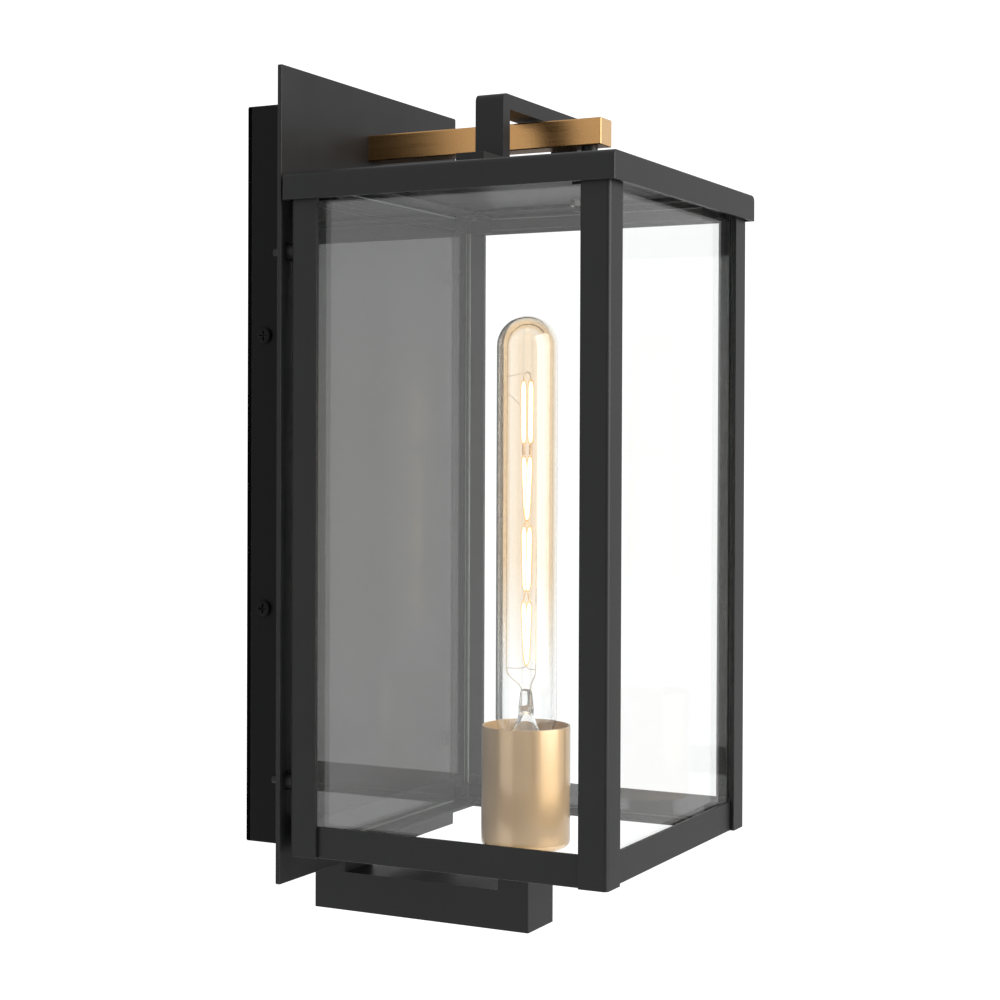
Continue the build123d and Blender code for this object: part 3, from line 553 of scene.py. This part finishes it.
def envelope():
    """Thin-walled tube with a round top and a neck that sinks into the cap."""
    foot, top, r = LAMP_LO.z + GLASS_GAP, LAMP_TOP - GLASS_GAP, LAMP_R - GLASS_GAP
    bore, dome, straight = r - GLASS_WALL, top - r, top - r - foot
    outer = profile(foot, [(12.30, 0), (12.30, 9.6), (12.75, 10.9), (13.6, 12.6), (14.45, 14.4),
                           (14.9, 16.4)])
    outer.append((r, foot + 18.6 * MM))
    outer += [(r, foot + straight * f) for f in (0.2, 0.4, 0.6, 0.8)]
    outer += arc(0, dome, r, 0, 90, 26)
    inner = arc(0, dome, bore, 90, 0, 26)
    inner += [(bore, foot + straight * f) for f in (0.8, 0.6, 0.4, 0.2)]
    inner.append((bore, foot + 18.8 * MM))
    inner += profile(foot, [(14.0, 16.7), (13.55, 14.8), (12.7, 13.0), (11.9, 11.3), (11.45, 9.8),
                            (11.45, 0)])
    return lathe_mesh("lamp_envelope", outer + inner, 128)


add_piece("lamp_envelope", envelope(), envelope_glass, "lamp", "bulb_clear_glass", "bulb_glass")

# tiers of lit sticks, two in each: heights in metres, then half the spacing in millimetres
# along Y and X, at the top and at the foot
TIERS = [(0.0152, 0.0480, (2.05, 0.0), (1.90, 0.0)), (-0.0234, 0.0100, (1.85, 0.0), (0.75, 1.45)),
         (-0.0590, -0.0252, (1.65, 0.0), (1.25, 0.90)), (-0.0960, -0.0632, (1.65, 0.0), (0.75, 1.45))]


def stick_point(tier, side, f):
    """Point on a stick's axis; f runs from 0 at its foot to 1 at its top."""
    z0, z1, (ty, tx), (fy, fx) = TIERS[tier]
    return (LAMP_X + side * (fx + (tx - fx) * f) * MM, LAMP_Y + side * (fy + (ty - fy) * f) * MM,
            z0 + (z1 - z0) * f)


def sticks(name, radius, inset, taper):
    """Rods that stop an inset short of the stick's ends and lose the taper's share there."""
    steps, sides, rounded_steps = 18, 16, 2.2
    bm = bmesh.new()
    for tier, (z0, z1, _, _) in enumerate(TIERS):
        margin = inset / (z1 - z0)
        for side in (-1, 1):
            rings = []
            for k in range(steps + 1):
                f = k / steps
                x, y, z = stick_point(tier, side, margin + (1 - 2 * margin) * f)
                from_end = min(f, 1 - f) * steps
                lost = taper * max(0.0, 1 - from_end / rounded_steps) ** 2
                rings.append(ring(bm, x, y, z, radius * (1 - lost), sides))
            for low, high in zip(rings, rings[1:]):
                join_rings(bm, low, high)
            bm.faces.new(list(reversed(rings[0])))
            bm.faces.new(rings[-1])
    return finish_mesh(bm, name, outward=False)


add_piece("lamp_stick_cores", sticks("lamp_stick_cores", 1.05 * MM, 1.2 * MM, 0.6), stick_core,
          "lamp", "filament_glow", "bulb_filaments")
add_piece("lamp_stick_coats", sticks("lamp_stick_coats", 1.60 * MM, 0.3 * MM, 0.5), stick_coat,
          "lamp", "filament_glow")


def tab_runs():
    """Flattened wire ends that grip each stick, and the links between the tiers."""
    runs = []
    for side in (-1, 1):
        for tier in range(len(TIERS) - 1):
            above, below = stick_point(tier, side, 0.0), stick_point(tier + 1, side, 1.0)
            middle = tuple((a + b) / 2 for a, b in zip(above, below))
            radius = (0.75 if tier == 0 else 0.42) * MM
            runs.append(([above, middle, below], radius))
    return runs


def lead_runs():
    """Arch over the top pair, rear lead with its loop, short front lead, and fine supports."""
    x, y = LAMP_X, LAMP_Y
    rear_y, front_y = y + 11.3 * MM, y - 5.4 * MM
    (_, yl, top), (_, yr, _) = stick_point(0, -1, 1.0), stick_point(0, 1, 1.0)
    arch = [(x, yl, top - 1 * MM), (x, yl, top + 2.4 * MM), (x, y, top + 4.0 * MM),
            (x, yr, top + 2.4 * MM), (x, yr, top - 1 * MM)]
    runs = [(arch, 0.34 * MM)]

    loop_top, loop_r = 0.0758, 11.3 * MM
    rear = [(x, rear_y, z) for z in (-0.1000, -0.0930, -0.0600, -0.0300, 0.0000, 0.0300, 0.0600)]
    for k in range(16):  # the loop under the dome, 144 degrees of a circle
        a = math.radians(9.6 * k)
        rear.append((x, y + loop_r * math.cos(a), loop_top - loop_r * (1 - math.sin(a))))
    front = [(x, front_y, z) for z in (-0.1000, -0.0930, -0.0600, -0.0450, -0.0300)]
    for side, upper in ((1, rear), (-1, front)):
        out = upper[0][1] - y
        rise = [(x, y + side * 2.2 * MM, -0.1195), (x, y + side * 2.2 * MM, -0.1135),
                (x, y + side * 2.4 * MM, -0.1065), (x, y + out * 0.62, -0.1035)]
        runs.append((rise + upper, 0.32 * MM))
        foot = stick_point(len(TIERS) - 1, side, 0.0)
        link = [foot, (foot[0], foot[1] + side * 1.0 * MM, foot[2] - 1.4 * MM),
                (x, y + out * 0.8, foot[2] - 1.6 * MM), (x, y + out, foot[2] - 1.4 * MM)]
        runs.append((link, 0.22 * MM))

    # supports from the rear lead to the right-hand stick of the top pair
    for z0, z1, f in ((0.0415, 0.0335, 0.56), (0.0495, 0.0510, 1.0)):
        px, py, _ = stick_point(0, 1, f)
        support = [(x, rear_y, z0), ((x + px) / 2, (rear_y + py) / 2, (z0 + z1) / 2 + 0.3 * MM),
                   (px, py, z1)]
        runs.append((support, 0.14 * MM))
    return runs


add_piece("lamp_leads", tube_mesh("lamp_leads", lead_runs()), lead_metal, "lamp", "lead_wire", "bulb_leads")
add_piece("lamp_stick_tabs", tube_mesh("lamp_stick_tabs", tab_runs()), tab_metal, "lamp", "lead_wire")


def stem():
    """Glass flare and flattened press that carries the leads."""
    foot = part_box("bulb_stem")[0].z
    outline = profile(foot, [(9.4, 0), (8.9, 3), (7.6, 7), (5.6, 10.5), (4.4, 13.5), (3.9, 16.5),
                             (4.1, 18.5), (3.9, 21.0), (3.5, 24.0), (3.1, 27.2), (2.2, 28.3),
                             (0.0, 28.5)])
    hollow = profile(foot, [(0.0, 17.0), (2.2, 16.4), (3.2, 14.0), (4.5, 10.4), (6.6, 6.6),
                            (7.9, 2.8), (8.4, 0)])
    mesh = lathe_mesh("lamp_stem", outline + hollow, 48)
    press_foot, press_blend, pinch = foot + 15 * MM, 5 * MM, 0.52
    for v in mesh.vertices:  # the press is pinched flat across X
        share = min(1.0, max(0.0, (v.co.z - press_foot) / press_blend))
        v.co.x = LAMP_X + (v.co.x - LAMP_X) * (1 - pinch * share)
    return mesh


add_piece("lamp_stem", stem(), stem_glass, "lamp", "bulb_clear_glass", "bulb_stem")

# ------------------------------------------------------------------ threads
PITCH = 3.63 * MM


def thread_mesh(name, z0, z1, crest, root, wall, rows=96):
    """Rolled thread in thin metal: a wavy sleeve with an even wall and plain ends."""
    run_out = 1.2 * MM
    bm = bmesh.new()
    sleeves = []
    for offset in (0.0, -wall):
        sleeve = []
        for i in range(rows + 1):
            z = z0 + (z1 - z0) * i / rows
            fade = max(0.0, min(1.0, (z - z0) / run_out, (z1 - z) / run_out))

            def radius(a):
                wave = 0.5 + 0.5 * math.cos(2 * math.pi * (z / PITCH) - a)
                return root + (crest - root) * wave * fade + offset

            sleeve.append(ring(bm, LAMP_X, LAMP_Y, z, radius, 72))
        sleeves.append(sleeve)
    outer, inner = sleeves
    for low, high in zip(outer, outer[1:]):
        join_rings(bm, low, high)
    for low, high in zip(inner, inner[1:]):
        join_rings(bm, high, low)
    join_rings(bm, inner[0], outer[0])
    join_rings(bm, outer[-1], inner[-1])
    return finish_mesh(bm, name)


cap_lo, cap_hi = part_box("bulb_base")
add_piece("lamp_cap_thread",
          thread_mesh("lamp_cap_thread", cap_lo.z + 2.2 * MM, cap_lo.z + 15.0 * MM,
                      13.08 * MM, 12.40 * MM, 0.30 * MM),
          cap_metal, "lamp", "bulb_cap_metal", "bulb_base")
skirt = [(12.36 * MM, cap_hi.z), (12.95 * MM, cap_hi.z)]
skirt += profile(cap_lo.z, [(12.95, 15.7), (12.42, 15.0), (12.10, 15.0), (12.36, 15.7)])
add_piece("lamp_cap_skirt", lathe_mesh("lamp_cap_skirt", skirt, smooth=False),
          cap_metal, "lamp", "bulb_cap_metal")
cap_foot = profile(cap_lo.z, [(12.40, 2.2), (11.60, 0.7), (9.25, 0.02), (9.25, 0.5), (11.20, 1.1),
                              (12.10, 2.2)])
add_piece("lamp_cap_foot", lathe_mesh("lamp_cap_foot", cap_foot, smooth=False),
          cap_metal, "lamp", "bulb_cap_metal")

shell_lo, shell_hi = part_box("holder_shell")
add_piece("holder_thread_shell",
          thread_mesh("holder_thread_shell", shell_lo.z + 0.6 * MM, shell_hi.z,
                      14.15 * MM, 13.55 * MM, 0.35 * MM, rows=190),
          thread_brass, "lantern", "shell_brass", "holder_shell")
shell_floor = profile(shell_lo.z, [(8.0, 0), (13.9, 0), (13.9, 0.6), (8.0, 0.6)])
add_piece("holder_shell_floor", lathe_mesh("holder_shell_floor", shell_floor, smooth=False),
          thread_brass, "lantern", "shell_brass")


# ------------------------------------------------------------------ wire connectors
def connectors(name):
    """Twist-on connectors: ribbed cones with a bore for the wire from below."""
    lo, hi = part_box("wire_nuts")
    mid_y, edge_gap, height = (lo.y + hi.y) / 2, 4.2 * MM, hi.z - lo.z
    wide, narrow, rib_depth, rib_count = 4.17 * MM, 2.55 * MM, 0.32 * MM, 12
    mouth = profile(lo.z, [(0.0, 10), (1.45, 10), (1.45, 0)])
    mouth += [(wide - 0.5 * MM, lo.z), (wide, lo.z + 0.5 * MM), (wide - 0.1 * MM, lo.z + 2.2 * MM)]
    cone = [(wide + (narrow - wide) * f - 0.05 * MM, lo.z + height * f)
            for f in (0.16, 0.3, 0.45, 0.6, 0.75, 0.88)]
    tip = [(narrow, hi.z - 0.9 * MM), (narrow - 0.8 * MM, hi.z - 0.1 * MM), (0.0, hi.z)]
    bm = bmesh.new()
    for cx in (lo.x + edge_gap, hi.x - edge_gap):
        rings = []
        for points, rib in ((mouth, 0.0), (cone, rib_depth), (tip, 0.0)):
            for r, z in points:
                if r < POLE_R:
                    rings.append([bm.verts.new((cx, mid_y, z))])
                else:
                    rings.append(ring(bm, cx, mid_y, z,
                                      lambda a: r - rib * (0.5 - 0.5 * math.cos(rib_count * a)), 72))
        for low, high in zip(rings, rings[1:]):
            join_rings(bm, low, high)
    return finish_mesh(bm, name, smooth=False)


add_piece("wire_connectors", connectors("wire_connectors"), nut_orange, "lantern",
          "wire_nut_orange", "wire_nuts")


# ------------------------------------------------------------------ stage, lights, camera
def floor_mesh(name, half, z, cuts=24):
    bm = bmesh.new()
    bmesh.ops.create_grid(bm, x_segments=cuts, y_segments=cuts, size=half)
    for v in bm.verts:
        v.co.z = z
    return finish_mesh(bm, name, smooth=False, outward=False)


def floor_paint(name):
    """Pale matt floor that glows a little."""
    m, nt = new_material(name)
    cloud = noise(nt, 6.0, 3.0, 0.5)
    pale = blend_colour(nt, span(nt, cloud, 0.3, 0.7), (0.90, 0.90, 0.895), (0.93, 0.93, 0.925))
    p = node(nt, "ShaderNodeBsdfPrincipled", None, Base_Color=pale, Roughness=0.8)
    p.inputs["Emission Color"].default_value = (1, 1, 1, 1)
    p.inputs["Emission Strength"].default_value = 0.28
    output(nt, p)
    return m


floor = bpy.data.objects.new("floor", floor_mesh("floor", 2.2, -1.25))
bpy.context.scene.collection.objects.link(floor)
floor.data.materials.append(floor_paint("studio_floor"))


def studio_world():
    """Soft room: dimmer on the near left with a pale screen behind it, near white to the camera."""
    world = bpy.data.worlds.new("studio")
    bpy.context.scene.world = world
    world.use_nodes = True
    nt = world.node_tree
    nt.nodes.clear()
    tc = node(nt, "ShaderNodeTexCoord")
    sep = node(nt, "ShaderNodeSeparateXYZ", None, Vector=tc.outputs["Generated"])
    heading = maths(nt, "ARCTAN2", sep.outputs["X"], maths(nt, "MULTIPLY", sep.outputs["Y"], -1.0))
    around = span(nt, heading, -math.pi, math.pi)
    side = ramp(nt, around, [(0.0, 0.75), (0.125, 0.75), (0.140, 1.22), (0.215, 1.22), (0.235, 0.46),
                             (0.395, 0.46), (0.42, 0.76), (0.60, 0.76), (0.66, 0.66), (0.80, 0.66),
                             (0.88, 0.75), (1.0, 0.75)])
    path = node(nt, "ShaderNodeLightPath")
    seen = maths(nt, "MAXIMUM", path.outputs["Is Camera Ray"], path.outputs["Is Transmission Ray"])
    level = maths(nt, "MAXIMUM", side, maths(nt, "MULTIPLY", seen, 1.20))
    bg = node(nt, "ShaderNodeBackground", None, Color=(1.0, 1.0, 1.0), Strength=level)
    node(nt, "ShaderNodeOutputWorld", None, Surface=bg.outputs[0])


studio_world()


def softbox(name, azimuth, elevation, distance, width, height, power, colour=(1, 1, 1)):
    """Area light round the lantern's middle; azimuth 0 is straight in front."""
    light = bpy.data.lights.new(name, "AREA")
    light.shape = "RECTANGLE"
    light.size, light.size_y = width, height
    light.energy = power
    light.color = colour
    o = bpy.data.objects.new(name, light)
    bpy.context.scene.collection.objects.link(o)
    a, e = math.radians(azimuth), math.radians(elevation)
    out = Vector((math.sin(a) * math.cos(e), -math.cos(a) * math.cos(e), math.sin(e)))
    middle = Vector((0.0, -0.10, 0.0))
    o.location = middle + out * distance
    o.rotation_mode = "QUATERNION"
    o.rotation_quaternion = (-out).to_track_quat("-Z", "Y")
    o.visible_camera = False
    o.visible_transmission = False


softbox("front_softbox", 1.0, 17.0, 2.2, 2.4, 2.4, 100.0, (1.0, 0.98, 0.95))
softbox("top_softbox", -30.0, 74.0, 2.4, 1.8, 1.8, 10.0)

CAMERA_AT = Vector((-0.8898, -0.5547, 0.0125))
CAMERA_AZIMUTH, CAMERA_ELEVATION, CAMERA_ROLL = -62.59, 0.50, 0.21
cam_data = bpy.data.cameras.new("camera")
cam_data.sensor_width = 36.0
cam_data.lens = 70.963
cam_data.shift_x, cam_data.shift_y = 0.0180, -0.0328
cam_data.clip_start, cam_data.clip_end = 0.01, 60.0
camera = bpy.data.objects.new("camera", cam_data)
bpy.context.scene.collection.objects.link(camera)
az, el, roll = (math.radians(v) for v in (CAMERA_AZIMUTH, CAMERA_ELEVATION, CAMERA_ROLL))
forward = Vector((-math.sin(az) * math.cos(el), math.cos(az) * math.cos(el), -math.sin(el)))
level_right = forward.cross(Vector((0, 0, 1))).normalized()
level_up = level_right.cross(forward)
right = level_right * math.cos(roll) + level_up * math.sin(roll)
up = right.cross(forward)
turn = Matrix((right, up, -forward)).transposed().to_4x4()
camera.matrix_world = Matrix.Translation(CAMERA_AT) @ turn
bpy.context.scene.camera = camera

scene = bpy.context.scene
scene.view_settings.view_transform = "Standard"
scene.view_settings.look = "None"
scene.cycles.max_bounces = 20
scene.cycles.transparent_max_bounces = 40
scene.cycles.transmission_bounces = 16
scene.cycles.glossy_bounces = 6
scene.cycles.diffuse_bounces = 4
